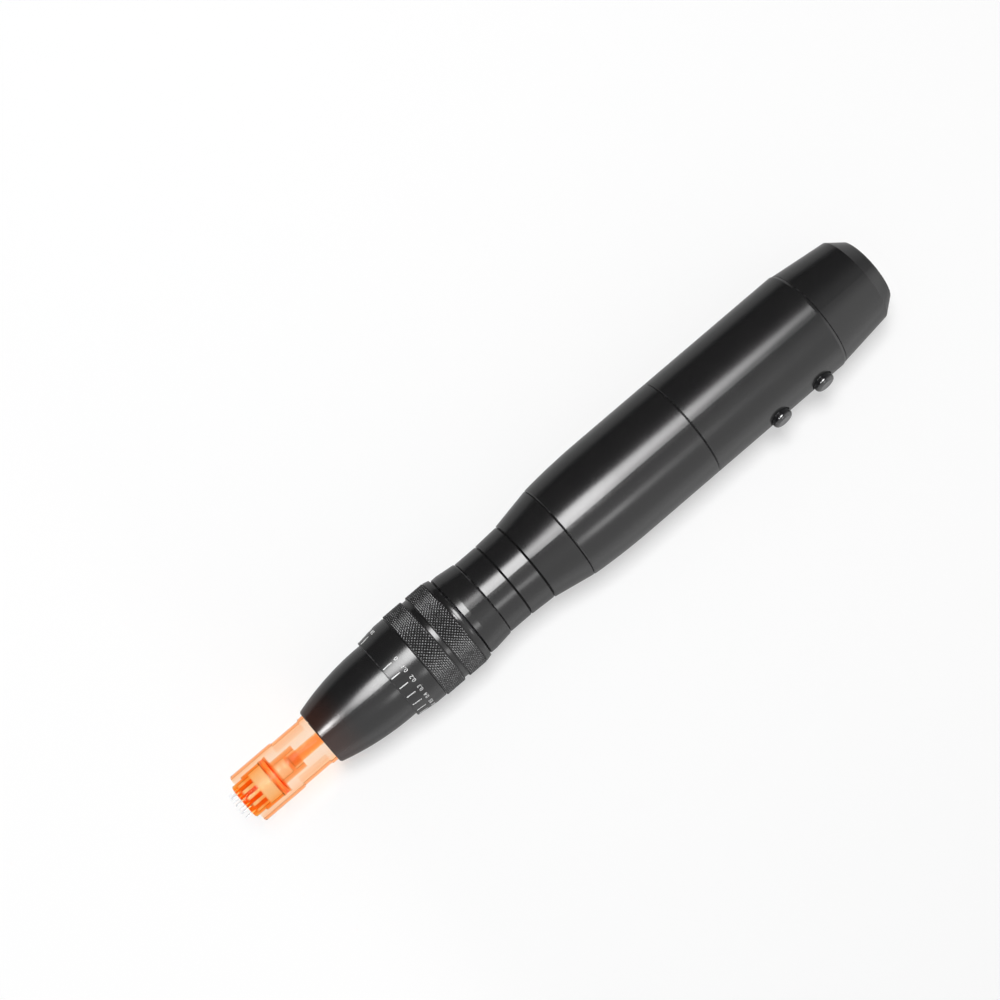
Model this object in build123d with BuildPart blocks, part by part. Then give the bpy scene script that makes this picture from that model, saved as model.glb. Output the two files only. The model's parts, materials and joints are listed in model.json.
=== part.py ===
from build123d import *
from math import asin, cos, degrees, pi, radians, sin, sqrt
import os

# Microneedling pen, lying on its side. Millimetres.
# +X runs along the pen from the needles to the tail, +Z is up.
# The pen's widest part touches z = 0, and the origin is under the middle of the pen.

# Lengths along the pen, from the tail to the needles
tail_cap_length = 17.0
rear_shell_length = 36.85
front_shell_length = 35.25
neck_length = 21.9
collar_length = 6.25
depth_ring_length = 20.5
nose_length = 18.95
barrel_reach = 20.1
needle_past_rim = 3.05

# Handle. Its radii step down from the body's, and its walls are measured inwards
body_radius = 12.5
shell_wall = 2.3
shell_front_drop = 0.7
shell_swell_length = 15.7
spigot_wall = 0.7
spigot_length = 4.0
cap_front_drop = 0.24
cap_back_drop = 1.85
tail_face_drop = 4.5
tail_chamfer_length = 3.45
cap_bore_drop = 1.0
tail_wall = 5.0
edge_break = 0.25
end_break = 0.25
end_break_length = 0.6

# Neck and collar, each radius a step from the piece before it
collar_front_drop = 0.36
collar_land_length = 1.7
collar_taper = 0.52
neck_front_drop = 0.16
neck_band_front_rise = 0.08
neck_band_back_rise = 0.28
neck_cone_front_rise = 0.17
neck_cone_back_drop = 0.12
neck_front_band_length = 5.93
neck_back_band_length = 6.17
groove_width = 0.5
groove_depth = 0.3
cavity_gap = 0.4

# Depth ring, its walls measured out from its bore
ring_bore_gap = 0.07
scale_front_wall = 0.55
scale_back_wall = 1.12
scale_taper_length = 5.0
scale_band_length = 7.6
front_knurl_length = 5.15
knurl_gap_length = 1.18
rear_knurl_length = 4.84
knurl_wall = 1.36
knurl_gap_wall = 0.92
ring_back_wall = 0.96
ring_flange_length = 3.0
scale_steps = 20
scale_step_angle = 15.2
click_bump_radius = 0.4
click_bump_height = 0.25
click_dimple_radius = 0.5
click_dimple_depth = 0.35
click_washer_thickness = 0.3
click_angle = 270.0
retaining_ring_length = 0.8
retaining_ring_reach = 0.8
retaining_ring_gap = 2.4
retaining_groove_depth = 0.3

# Nose
nose_lip = 0.91
nose_middle_drop = 0.57
nose_skirt_wall = 2.38
nose_tip_round = 0.3
nose_skirt_length = 10.5
nose_front_bore_length = 6.95
nose_travel = 2.0
guide_pin_radius = 0.8
guide_pin_setback = 7.0
guide_pin_depth = 0.9

# Guide sleeve, its radii stepping out from the cartridge's bayonet
bayonet_wall = 0.96
bush_wall = 1.77
journal_rise = 1.2
journal_length = 6.5
sleeve_tail_rise = 0.45
seal_section_radius = 0.5
seal_setback = 3.0
bush_length = 5.0
rod_seal_length = 2.0

# Cartridge, measured inwards from its barrel
barrel_radius = 6.04
barrel_wall = 0.69
barrel_length = 34.0
barrel_rim_round = 0.25
pocket_front = 10.95
pocket_length = 7.8
pocket_depth = 0.28
pocket_rise = 0.3
pocket_count = 4
pocket_rib_width = 1.8
pocket_turn = -2.0
lug_height = 0.5
lug_width = 2.4
lug_length = 1.6
lug_setback = 3.2
bayonet_length = 8.0
bayonet_angle = 40.0
hub_side_gap = 0.83
hub_front_drop = 0.39
hub_edge_break = 0.25
hub_front_length = 2.8
hub_length = 7.5
hub_wall = 0.6
hub_face_thickness = 1.2
hub_rib_length = 4.3
hub_rib_width = 0.9
hub_rib_count = 4
hub_rib_pitch = 1.65
needle_reach = 2.0
needle_radius = 0.14
needle_root = 1.0
needle_point_length = 0.7
needle_tip_radius = 0.02
outer_needles = 9
inner_needles = 3
needle_inset = 1.23
inner_needle_circle = 1.35
needle_turn = -90.0
flange_side_gap = 0.68
flange_thickness = 0.55
flange_gap = 0.8
seal_groove_depth = 0.97
stem_wall = 1.05
stem_bore_gap = 0.4
stem_length = 5.75
rod_in_stem = 2.1
stem_web = 0.8
pin_setback = 1.0

# Needle drive
drive_stroke = 2.5
rod_radius = 1.43
follower_rim = 0.6
follower_thickness = 1.8
foot_radius = 1.0
cam_body_length = 3.3
spring_length = 4.8
spring_wire_radius = 0.25
spring_side_gap = 0.47
spring_turns = 4
dowel_radius = 0.8
dowel_inset = 1.25
dowel_root = 2.0

# Motor and its mount
motor_drop = 0.75
motor_can_length = 18.0
motor_can_wall = 0.8
motor_boss_radius = 3.0
motor_boss_length = 1.2
end_bell_length = 2.0
shaft_radius = 1.0
shaft_in_cam = 3.0
bearing_radius = 2.0
bearing_length = 1.8
magnet_thickness = 1.3
magnet_length = 12.0
magnet_angle = 150.0
armature_length = 11.0
armature_poles = 5
armature_slot_width = 0.9
commutator_radius = 2.1
commutator_length = 2.2
terminal_width = 1.6
terminal_thickness = 0.4
terminal_length = 1.8
terminal_spacing = 4.0
terminal_drop = 1.9
mount_thickness = 3.0
mount_ledge = 0.75
mount_screw_circle = 5.0
screw_head_radius = 1.7
screw_head_height = 1.2
screw_radius = 0.95
damper_length = 4.0
damper_setback = 2.0

# Buttons, on a line that is raised from the side of the pen
button_raise_angle = 18.0
button_from_tail = 24.2
button_spacing = 12.15
button_radius = 2.45
button_proud = 1.6
button_rounding = 0.95
button_flange_radius = 3.2
button_flange_thickness = 0.7
button_flange_gap = 0.08
button_travel = 0.5
button_gap = 0.2

# Battery, board and chassis
battery_top_gap = 0.134
battery_lean = -2.4
battery_bore_clearance = 0.1
tab_width = 4.0
tab_thickness = 0.2
tab_reach_down = 3.0
chassis_wall = 1.3
chassis_from_motor = 3.5
chassis_end_block = 5.0
board_thickness = 0.8
board_width = 12.0
deck_window_half_width = 3.2
floor_window_half_width = 5.5
back_window_half_height = 5.0
switch_size = 4.5
switch_height = 1.1
switch_nub_radius = 0.8
switch_nub_height = 0.15
chip_height = 0.9
chip_shares = (0.3, 0.18, 0.22)
board_screw_inset = 2.4
board_screw_side = 4.8
board_screw_radius = 0.75
board_screw_head_radius = 1.1
board_screw_head_height = 0.6
board_screw_depth = 3.0
lead_radius = 0.4
lead_bend_radius = 0.8
lead_spacing = 4.0
lead_lap = 2.2

# Charging jack in the tail
jack_bore_radius = 1.8
jack_bore_depth = 9.0
jack_neck_radius = 3.0
jack_body_radius = 4.0
jack_body_length = 5.1
jack_retainer_thickness = 2.0
end_pad_wall = 1.5

# Fits
running_fit = 0.05
press_gap = 0.02
thread_gap = 0.05
seam_gap = 0.25
free_gap = 0.3
seat_gap = 0.1

# Stations along X, worked out from the lengths
overall_length = (
    tail_cap_length + rear_shell_length + front_shell_length + neck_length
    + collar_length + depth_ring_length + nose_length + barrel_reach + needle_past_rim
)
tail_x = overall_length / 2
cap_front_x = tail_x - tail_cap_length
rear_front_x = cap_front_x - rear_shell_length
shell_front_x = rear_front_x - front_shell_length
neck_front_x = shell_front_x - neck_length
collar_front_x = neck_front_x - collar_length
ring_front_x = collar_front_x - depth_ring_length
nose_front_x = ring_front_x - nose_length
rim_x = nose_front_x - barrel_reach
needle_tip_x = rim_x - needle_past_rim

# Handle radii, worked out inwards from the body
shell_bore_radius = body_radius - shell_wall
shell_front_radius = body_radius - shell_front_drop
spigot_radius = shell_bore_radius + spigot_wall
cap_front_radius = body_radius - cap_front_drop
cap_back_radius = body_radius - cap_back_drop
tail_face_radius = body_radius - tail_face_drop
cap_bore_radius = shell_bore_radius - cap_bore_drop

# Cartridge radii, worked out inwards from the barrel
barrel_bore_radius = barrel_radius - barrel_wall
pocket_inner_radius = barrel_bore_radius - pocket_rise
hub_radius = barrel_bore_radius - hub_side_gap
hub_front_radius = hub_radius - hub_front_drop
outer_needle_circle = hub_front_radius - needle_inset
flange_radius = barrel_bore_radius - flange_side_gap
flange_core_radius = flange_radius - seal_groove_depth
stem_bore_radius = rod_radius + stem_bore_gap
stem_radius = stem_bore_radius + stem_wall

# Radii of the nose, ring, collar and neck, worked out outwards from the barrel
sleeve_radius = barrel_radius + bayonet_wall
sleeve_bore_radius = rod_radius + bush_wall
journal_radius = sleeve_radius + journal_rise
sleeve_tail_radius = sleeve_radius + sleeve_tail_rise
nose_bore_radius = sleeve_radius + running_fit
nose_tip_radius = barrel_radius + nose_lip
nose_back_radius = nose_bore_radius + nose_skirt_wall
nose_middle_radius = nose_back_radius - nose_middle_drop
ring_bore_radius = nose_back_radius + ring_bore_gap
scale_front_radius = ring_bore_radius + scale_front_wall
scale_back_radius = ring_bore_radius + scale_back_wall
knurl_radius = ring_bore_radius + knurl_wall
knurl_gap_radius = ring_bore_radius + knurl_gap_wall
ring_back_radius = ring_bore_radius + ring_back_wall
click_circle_radius = (journal_radius + ring_bore_radius) / 2
retaining_ring_radius = journal_radius + retaining_ring_reach
retaining_groove_radius = journal_radius - retaining_groove_depth
collar_front_radius = ring_back_radius - collar_front_drop
collar_back_radius = collar_front_radius - collar_taper
neck_front_radius = collar_back_radius - neck_front_drop
neck_band_front_radius = neck_front_radius + neck_band_front_rise
neck_band_back_radius = neck_band_front_radius + neck_band_back_rise
neck_cone_front_radius = neck_band_back_radius + neck_cone_front_rise
neck_cone_back_radius = shell_front_radius - neck_cone_back_drop

# Radii of the drive and the motor, worked out from the sleeve's tail
dowel_circle_radius = sleeve_tail_radius - dowel_inset
follower_radius = dowel_circle_radius + dowel_radius + follower_rim
cam_radius = dowel_circle_radius - dowel_radius - cavity_gap
foot_offset = cam_radius - foot_radius
spring_mean_radius = rod_radius + spring_side_gap + spring_wire_radius
cavity_radius = follower_radius + cavity_gap
mount_radius = cavity_radius + mount_ledge
motor_radius = mount_radius - motor_drop

# Heights under the buttons, from the shell's bore down to the battery
button_raise = radians(button_raise_angle)
button_flange_top = sqrt((shell_bore_radius - button_flange_gap) ** 2 - button_flange_radius**2)
button_base = button_flange_top - button_flange_thickness
board_top = button_base - button_travel - running_fit - switch_nub_height - switch_height
board_bottom = board_top - board_thickness
lead_height = board_top + lead_radius
terminal_top = lead_height - terminal_drop
terminal_height = terminal_top - terminal_thickness
chassis_radius = shell_bore_radius - seat_gap
battery_turn = button_raise + radians(battery_lean)
battery_drop = (chassis_radius - board_bottom + battery_top_gap) / (1 + sin(battery_turn))
battery_radius = chassis_radius - battery_drop

pen_axis = Axis((0, 0, body_radius), (1, 0, 0))
button_way = Vector(0, -cos(button_raise), sin(button_raise))


def side_at(angle):
    """Half plane through the pen's axis, at an angle about +X from straight up."""
    turned = radians(angle)
    return Plane(
        origin=(0, 0, body_radius), x_dir=(1, 0, 0), z_dir=(0, -cos(turned), -sin(turned))
    )


def across(x):
    """Plane square to the pen, local x along +Y and local y along +Z."""
    return Plane(origin=(x, 0, body_radius), x_dir=(0, 1, 0), z_dir=(1, 0, 0))


def under_button(x, height):
    """Plane square to the buttons' line, at a height above the pen's axis."""
    origin = Vector(x, 0, body_radius) + button_way * height
    return Plane(origin=origin, x_dir=(1, 0, 0), z_dir=button_way)


def turn(*outline, start=0.0, sweep_angle=360.0, mode=Mode.ADD):
    """Revolve a closed outline of (x, radius) points about the pen's axis."""
    with BuildSketch(side_at(start)) as profile:
        with BuildLine():
            Polyline(*outline, close=True)
        make_face()
    revolve(profile.sketch, axis=pen_axis, revolution_arc=sweep_angle, mode=mode)


def turn_ring(front_x, back_x, outer, inner=0.0, start=0.0, sweep_angle=360.0, mode=Mode.ADD):
    """Revolve a plain ring, or a disc where the inner radius is zero."""
    corners = ((front_x, inner), (back_x, inner), (back_x, outer), (front_x, outer))
    turn(*corners, start=start, sweep_angle=sweep_angle, mode=mode)


# Cartridge barrel
barrel_back_x = rim_x + barrel_length
pocket_front_x = rim_x + pocket_front
pocket_back_x = pocket_front_x + pocket_length
pocket_rib_angle = degrees(pocket_rib_width / barrel_radius)
pocket_angle = 360.0 / pocket_count - pocket_rib_angle
lug_back_x = barrel_back_x - lug_setback
lug_front_x = lug_back_x - lug_length
lug_radius = barrel_radius + lug_height

with BuildPart() as cartridge_barrel:
    turn(
        (rim_x, barrel_bore_radius),
        (barrel_back_x, barrel_bore_radius),
        (barrel_back_x, barrel_radius),
        (rim_x + barrel_rim_round, barrel_radius),
        (rim_x, barrel_radius - barrel_rim_round),
    )
    turn(
        (pocket_front_x, barrel_bore_radius + pocket_depth),
        (pocket_front_x, barrel_bore_radius),
        (pocket_front_x + pocket_depth, pocket_inner_radius),
        (pocket_back_x - pocket_depth, pocket_inner_radius),
        (pocket_back_x, barrel_bore_radius),
        (pocket_back_x, barrel_bore_radius + pocket_depth),
    )
    for pocket in range(pocket_count):
        turn(
            (pocket_front_x, barrel_radius + pocket_depth),
            (pocket_front_x, barrel_radius),
            (pocket_front_x + pocket_depth, barrel_radius - pocket_depth),
            (pocket_back_x - pocket_depth, barrel_radius - pocket_depth),
            (pocket_back_x, barrel_radius),
            (pocket_back_x, barrel_radius + pocket_depth),
            start=pocket_turn - pocket_angle / 2 + 360.0 * pocket / pocket_count,
            sweep_angle=pocket_angle,
            mode=Mode.SUBTRACT,
        )
    with BuildSketch(across(lug_front_x)):
        with PolarLocations((barrel_bore_radius + lug_radius) / 2, 2):
            Rectangle(lug_radius - barrel_bore_radius, lug_width)
        Circle((barrel_bore_radius + barrel_radius) / 2, mode=Mode.SUBTRACT)
    extrude(amount=lug_length)
cartridge_barrel.part.label = "cartridge_barrel"

# Needle hub, plunger and seal ring, which the push rod drives inside the barrel
hub_front_x = needle_tip_x + needle_reach
hub_back_x = hub_front_x + hub_length
hub_rib_back_x = hub_front_x + hub_rib_length
flange_back_x = hub_back_x + 2 * flange_thickness + flange_gap
stem_back_x = flange_back_x + stem_length
pin_front_x = stem_back_x - rod_in_stem
pin_back_x = barrel_back_x - pin_setback
needle_hole_radius = needle_radius + press_gap

with BuildPart() as needle_hub:
    turn(
        (hub_front_x, 0),
        (hub_rib_back_x, 0),
        (hub_rib_back_x, hub_radius - hub_wall),
        (hub_back_x, hub_radius - hub_wall),
        (hub_back_x, hub_radius),
        (hub_front_x + hub_front_length, hub_radius),
        (hub_front_x + hub_front_length, hub_front_radius),
        (hub_front_x + hub_edge_break, hub_front_radius),
        (hub_front_x, hub_front_radius - hub_edge_break),
    )
    turn_ring(
        hub_front_x + hub_face_thickness,
        hub_rib_back_x,
        hub_front_radius - hub_wall,
        mode=Mode.SUBTRACT,
    )
    with BuildSketch(across(hub_front_x + hub_face_thickness)):
        with GridLocations(hub_rib_pitch, 0, hub_rib_count, 1):
            Rectangle(hub_rib_width, 2 * hub_radius)
        Circle(hub_front_radius - hub_wall + press_gap, mode=Mode.INTERSECT)
    extrude(amount=hub_rib_length - hub_face_thickness)
    with BuildSketch(across(hub_front_x)):
        with PolarLocations(outer_needle_circle, outer_needles, start_angle=90 + needle_turn):
            Circle(needle_hole_radius)
        with PolarLocations(inner_needle_circle, inner_needles, start_angle=90 + needle_turn):
            Circle(needle_hole_radius)
    extrude(amount=needle_root, mode=Mode.SUBTRACT)
needle_hub.part.label = "needle_hub"

with BuildPart(across(needle_tip_x)) as needles:
    rows = ((outer_needle_circle, outer_needles), (inner_needle_circle, inner_needles))
    on_base = (Align.CENTER, Align.CENTER, Align.MIN)
    for circle_radius, count in rows:
        with PolarLocations(circle_radius, count, start_angle=90 + needle_turn):
            Cone(needle_tip_radius, needle_radius, needle_point_length, align=on_base)
            with Locations((0, 0, needle_point_length)):
                shank_length = needle_reach + needle_root - needle_point_length
                Cylinder(needle_radius, shank_length, align=on_base)
needles.part.label = "needles"

with BuildPart() as needle_plunger:
    turn(
        (hub_back_x, stem_bore_radius),
        (hub_back_x, flange_radius),
        (hub_back_x + flange_thickness, flange_radius),
        (hub_back_x + flange_thickness, flange_core_radius),
        (flange_back_x - flange_thickness, flange_core_radius),
        (flange_back_x - flange_thickness, flange_radius),
        (flange_back_x, flange_radius),
        (flange_back_x, stem_radius),
        (stem_back_x, stem_radius),
        (stem_back_x, stem_bore_radius),
        (pin_front_x, stem_bore_radius),
        (pin_front_x, 0),
        (pin_front_x - stem_web, 0),
        (pin_front_x - stem_web, stem_bore_radius),
    )
needle_plunger.part.label = "needle_plunger"

with BuildPart() as plunger_pin:
    turn_ring(pin_front_x, pin_back_x, rod_radius)
plunger_pin.part.label = "plunger_pin"

with BuildPart() as plunger_seal_ring:
    turn_ring(
        hub_back_x + flange_thickness + press_gap,
        flange_back_x - flange_thickness - press_gap,
        flange_radius - free_gap / 2,
        flange_core_radius + press_gap,
    )
plunger_seal_ring.part.label = "plunger_seal_ring"

# Nose cone, with keyways for the cartridge's lugs, and its bayonet collar
bayonet_front_x = nose_front_x + nose_front_bore_length
bayonet_back_x = bayonet_front_x + bayonet_length
skirt_back_x = ring_front_x + nose_skirt_length
keyway_radius = lug_radius + seat_gap
keyway_width = lug_width + 2 * free_gap
guide_pin_x = ring_front_x + guide_pin_setback
guide_pin_inner_radius = sleeve_radius - guide_pin_depth

with BuildPart() as nose_cone:
    with BuildSketch(side_at(0)):
        with BuildLine():
            Polyline(
                (nose_front_x + nose_tip_round, nose_tip_radius),
                (nose_front_x, nose_tip_radius - nose_tip_round),
                (nose_front_x, barrel_radius + running_fit),
                (bayonet_front_x, barrel_radius + running_fit),
                (bayonet_front_x, nose_bore_radius),
                (skirt_back_x, nose_bore_radius),
                (skirt_back_x, nose_back_radius),
                (ring_front_x, nose_back_radius),
            )
            ThreePointArc(
                (ring_front_x, nose_back_radius),
                (nose_front_x + nose_length / 2, nose_middle_radius),
                (nose_front_x + nose_tip_round, nose_tip_radius),
            )
        make_face()
    revolve(axis=pen_axis)
    with BuildSketch(across(nose_front_x)):
        with PolarLocations(keyway_radius / 2, 2, start_angle=bayonet_angle):
            Rectangle(keyway_radius, keyway_width)
    extrude(amount=nose_front_bore_length, mode=Mode.SUBTRACT)
    pin_radius = guide_pin_radius + press_gap
    with Locations((guide_pin_x, 0, body_radius)):
        Cylinder(pin_radius, 2 * ring_bore_radius, rotation=(90, 0, 0), mode=Mode.SUBTRACT)
nose_cone.part.label = "nose_cone"

with BuildPart() as bayonet_collar:
    collar_wall_radius = nose_bore_radius - press_gap
    turn_ring(bayonet_front_x, bayonet_back_x, collar_wall_radius, barrel_radius + running_fit)
    with BuildSketch(across(bayonet_front_x)):
        with PolarLocations(keyway_radius / 2, 2, start_angle=bayonet_angle):
            Rectangle(keyway_radius, keyway_width)
    extrude(amount=lug_back_x + seat_gap - bayonet_front_x, mode=Mode.SUBTRACT)
    lug_half_angle = degrees(asin(keyway_width / 2 / barrel_radius))
    for side in (0, 180):
        turn_ring(
            lug_front_x - seat_gap,
            lug_back_x + seat_gap,
            keyway_radius,
            start=side - 90 - lug_half_angle,
            sweep_angle=bayonet_angle + 2 * lug_half_angle,
            mode=Mode.SUBTRACT,
        )
bayonet_collar.part.label = "bayonet_collar"

with BuildPart() as guide_pins:
    with BuildSketch(Plane.XZ):
        with Locations((guide_pin_x, body_radius)):
            Circle(guide_pin_radius)
    extrude(amount=nose_back_radius - seat_gap, both=True)
    turn_ring(
        guide_pin_x - ring_bore_radius,
        guide_pin_x + ring_bore_radius,
        guide_pin_inner_radius,
        mode=Mode.SUBTRACT,
    )
guide_pins.part.label = "guide_pins"

# Depth ring, free to turn on the sleeve's journal
knurl_front_x = ring_front_x + scale_band_length
knurl_gap_front_x = knurl_front_x + front_knurl_length
knurl_gap_back_x = knurl_gap_front_x + knurl_gap_length
knurl_back_x = knurl_gap_back_x + rear_knurl_length
ring_back_x = collar_front_x - seam_gap
washer_front_x = collar_front_x - click_washer_thickness
ring_flange_back_x = washer_front_x - free_gap
ring_flange_front_x = ring_flange_back_x - ring_flange_length
journal_front_x = collar_front_x - journal_length

with BuildPart() as depth_ring:
    turn(
        (ring_front_x, ring_bore_radius),
        (ring_front_x, scale_front_radius),
        (ring_front_x + scale_taper_length, scale_back_radius),
        (knurl_front_x, scale_back_radius),
        (knurl_front_x, knurl_radius),
        (knurl_gap_front_x, knurl_radius),
        (knurl_gap_front_x, knurl_gap_radius),
        (knurl_gap_back_x, knurl_gap_radius),
        (knurl_gap_back_x, knurl_radius),
        (knurl_back_x, knurl_radius),
        (ring_back_x, ring_back_radius),
        (ring_back_x, ring_bore_radius),
        (ring_flange_back_x, ring_bore_radius),
        (ring_flange_back_x, journal_radius + running_fit),
        (ring_flange_front_x, journal_radius + running_fit),
        (ring_flange_front_x, ring_bore_radius),
    )
    with BuildSketch(across(ring_flange_back_x)):
        with PolarLocations(
            click_circle_radius,
            scale_steps + 1,
            start_angle=click_angle - scale_steps * scale_step_angle,
            angular_range=scale_steps * scale_step_angle,
            endpoint=True,
        ):
            Circle(click_dimple_radius)
    extrude(amount=-click_dimple_depth, mode=Mode.SUBTRACT)
depth_ring.part.label = "depth_ring"

with BuildPart() as click_washer:
    turn_ring(
        washer_front_x,
        collar_front_x,
        ring_bore_radius - free_gap,
        journal_radius + thread_gap,
    )
    with BuildSketch(across(washer_front_x)):
        with PolarLocations(click_circle_radius, 1, start_angle=click_angle):
            Circle(click_bump_radius)
    extrude(amount=-click_bump_height)
click_washer.part.label = "click_washer"

retaining_back_x = ring_flange_front_x - seat_gap
retaining_front_x = retaining_back_x - retaining_ring_length

with BuildPart() as retaining_ring:
    turn_ring(
        retaining_front_x,
        retaining_back_x,
        retaining_ring_radius,
        retaining_groove_radius + press_gap,
    )
    with BuildSketch(across(retaining_front_x)):
        with Locations((0, retaining_ring_radius)):
            Rectangle(retaining_ring_gap, retaining_ring_radius)
    extrude(amount=retaining_ring_length, mode=Mode.SUBTRACT)
retaining_ring.part.label = "retaining_ring"

# Needle drive stations, measured forward from the motor's mount. The follower's foot clears
# the cam's high side even when the rod is fully back
mount_back_x = shell_front_x + spigot_length
mount_front_x = mount_back_x - mount_thickness
cam_back_x = mount_front_x - screw_head_height - 2 * free_gap
cam_middle_x = cam_back_x - cam_body_length
cam_slope = drive_stroke / 2 / foot_offset
foot_back_x = cam_middle_x - drive_stroke / 2 - drive_stroke - free_gap
foot_length = 2 * foot_radius
follower_back_x = foot_back_x - foot_length
follower_front_x = follower_back_x - follower_thickness
spring_back_x = follower_front_x - seat_gap
spring_front_x = spring_back_x - spring_length
sleeve_back_x = spring_front_x - seat_gap
sleeve_front_x = bayonet_back_x + nose_travel

# Guide sleeve, bushes and seals
seal_x = sleeve_front_x + seal_setback
seal_groove_radius = sleeve_radius - 2 * seal_section_radius
pin_slot_front_x = guide_pin_x - nose_travel - guide_pin_radius - free_gap
pin_slot_back_x = guide_pin_x + guide_pin_radius + free_gap
pin_slot_radius = guide_pin_inner_radius - free_gap
dowel_front_x = sleeve_back_x - dowel_root
rod_seal_front_x = sleeve_front_x + bush_length + seat_gap
rear_bush_front_x = sleeve_back_x - bush_length

with BuildPart() as guide_sleeve:
    turn(
        (sleeve_front_x, sleeve_bore_radius),
        (sleeve_front_x, sleeve_radius),
        (seal_x - seal_section_radius - press_gap, sleeve_radius),
        (seal_x - seal_section_radius - press_gap, seal_groove_radius),
        (seal_x + seal_section_radius + press_gap, seal_groove_radius),
        (seal_x + seal_section_radius + press_gap, sleeve_radius),
        (journal_front_x, sleeve_radius),
        (journal_front_x, journal_radius),
        (retaining_front_x - press_gap, journal_radius),
        (retaining_front_x - press_gap, retaining_groove_radius),
        (retaining_back_x + press_gap, retaining_groove_radius),
        (retaining_back_x + press_gap, journal_radius),
        (collar_front_x, journal_radius),
        (collar_front_x, sleeve_tail_radius),
        (sleeve_back_x, sleeve_tail_radius),
        (sleeve_back_x, sleeve_bore_radius),
    )
    with BuildSketch(across(pin_slot_front_x)):
        slot_centre_radius = (pin_slot_radius + nose_back_radius) / 2
        with PolarLocations(slot_centre_radius, 2):
            Rectangle(nose_back_radius - pin_slot_radius, 2 * (guide_pin_radius + seat_gap))
    extrude(amount=pin_slot_back_x - pin_slot_front_x, mode=Mode.SUBTRACT)
    with BuildSketch(across(dowel_front_x)):
        with PolarLocations(dowel_circle_radius, 2):
            Circle(dowel_radius + press_gap)
    extrude(amount=dowel_root, mode=Mode.SUBTRACT)
guide_sleeve.part.label = "guide_sleeve"

with BuildPart() as nose_seal_ring:
    with BuildSketch(side_at(0)):
        with Locations((seal_x, sleeve_radius - seal_section_radius)):
            Circle(seal_section_radius)
    revolve(axis=pen_axis)
nose_seal_ring.part.label = "nose_seal_ring"

with BuildPart() as rod_bushes:
    for bush_front_x in (sleeve_front_x, rear_bush_front_x):
        turn_ring(
            bush_front_x,
            bush_front_x + bush_length,
            sleeve_bore_radius - press_gap,
            rod_radius + running_fit,
        )
rod_bushes.part.label = "rod_bushes"

with BuildPart() as rod_seal:
    turn_ring(
        rod_seal_front_x,
        rod_seal_front_x + rod_seal_length,
        sleeve_bore_radius - press_gap,
        rod_radius + running_fit,
    )
rod_seal.part.label = "rod_seal"

# Push rod, cam follower, its dowels and return spring
with BuildPart() as push_rod:
    turn_ring(pin_back_x, follower_back_x, rod_radius)
push_rod.part.label = "push_rod"

with BuildPart() as cam_follower:
    turn_ring(follower_front_x, follower_back_x, follower_radius, rod_radius + press_gap)
    with BuildSketch(across(follower_front_x)):
        with PolarLocations(dowel_circle_radius, 2):
            Circle(dowel_radius + running_fit)
    extrude(amount=follower_thickness, mode=Mode.SUBTRACT)
    with BuildSketch(across(follower_back_x)):
        with Locations((0, foot_offset)):
            Circle(foot_radius)
    extrude(amount=foot_length - foot_radius)
    with Locations((foot_back_x - foot_radius, 0, body_radius + foot_offset)):
        Sphere(foot_radius)
cam_follower.part.label = "cam_follower"

with BuildPart() as guide_dowels:
    with BuildSketch(across(dowel_front_x)):
        with PolarLocations(dowel_circle_radius, 2):
            Circle(dowel_radius)
    extrude(amount=mount_back_x - dowel_front_x)
guide_dowels.part.label = "guide_dowels"


def on_coil(turned, front_x, pitch):
    """Point and unit direction on the spring's helix after a number of quarter turns."""
    angle = turned * pi / 2
    place = Vector(
        front_x + pitch * turned / 4,
        spring_mean_radius * cos(angle),
        body_radius + spring_mean_radius * sin(angle),
    )
    rise = pitch / (2 * pi)
    way = Vector(rise, -spring_mean_radius * sin(angle), spring_mean_radius * cos(angle))
    return place, way.normalized()


def biarc_middle(start, start_way, end, end_way):
    """Point where two arcs that join two places smoothly meet, and the way through it."""
    chord = end - start
    both = start_way + end_way
    spread = 2 * (1 - start_way.dot(end_way))
    along = 2 * chord.dot(both)
    reach = (sqrt(along**2 + 4 * spread * chord.dot(chord)) - along) / (2 * spread)
    first = start + start_way * reach
    second = end - end_way * reach
    return (first + second) * 0.5, (second - first).normalized()


wire_front_x = spring_front_x + spring_wire_radius
spring_pitch = (spring_length - 2 * spring_wire_radius) / spring_turns

with BuildPart() as return_spring:
    with BuildLine() as spring_path:
        for quarter in range(4 * spring_turns):
            near, near_way = on_coil(quarter, wire_front_x, spring_pitch)
            far, far_way = on_coil(quarter + 1, wire_front_x, spring_pitch)
            middle, middle_way = biarc_middle(near, near_way, far, far_way)
            TangentArc(near, middle, tangent=near_way)
            TangentArc(middle, far, tangent=middle_way)
    coil_start, coil_way = on_coil(0, wire_front_x, spring_pitch)
    with BuildSketch(Plane(origin=coil_start, z_dir=coil_way)):
        Circle(spring_wire_radius)
    sweep(path=spring_path.line)
return_spring.part.label = "return_spring"
print("least gap between the spring's turns:", round(spring_pitch - 2 * spring_wire_radius, 3))

# Cam on the motor's shaft, its low side under the follower's foot
cam_lowest_x = cam_middle_x - cam_radius * cam_slope
shaft_front_x = cam_back_x - shaft_in_cam
shaft_back_x = mount_back_x + motor_can_length + end_bell_length - motor_can_wall

with BuildPart() as drive_cam:
    turn_ring(cam_lowest_x, cam_back_x, cam_radius)
    face_way = Vector(-1, 0, cam_slope)
    split(bisect_by=Plane(origin=(cam_middle_x, 0, body_radius), z_dir=face_way), keep=Keep.BOTTOM)
    turn_ring(shaft_front_x, cam_back_x, shaft_radius + press_gap, mode=Mode.SUBTRACT)
drive_cam.part.label = "drive_cam"

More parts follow.
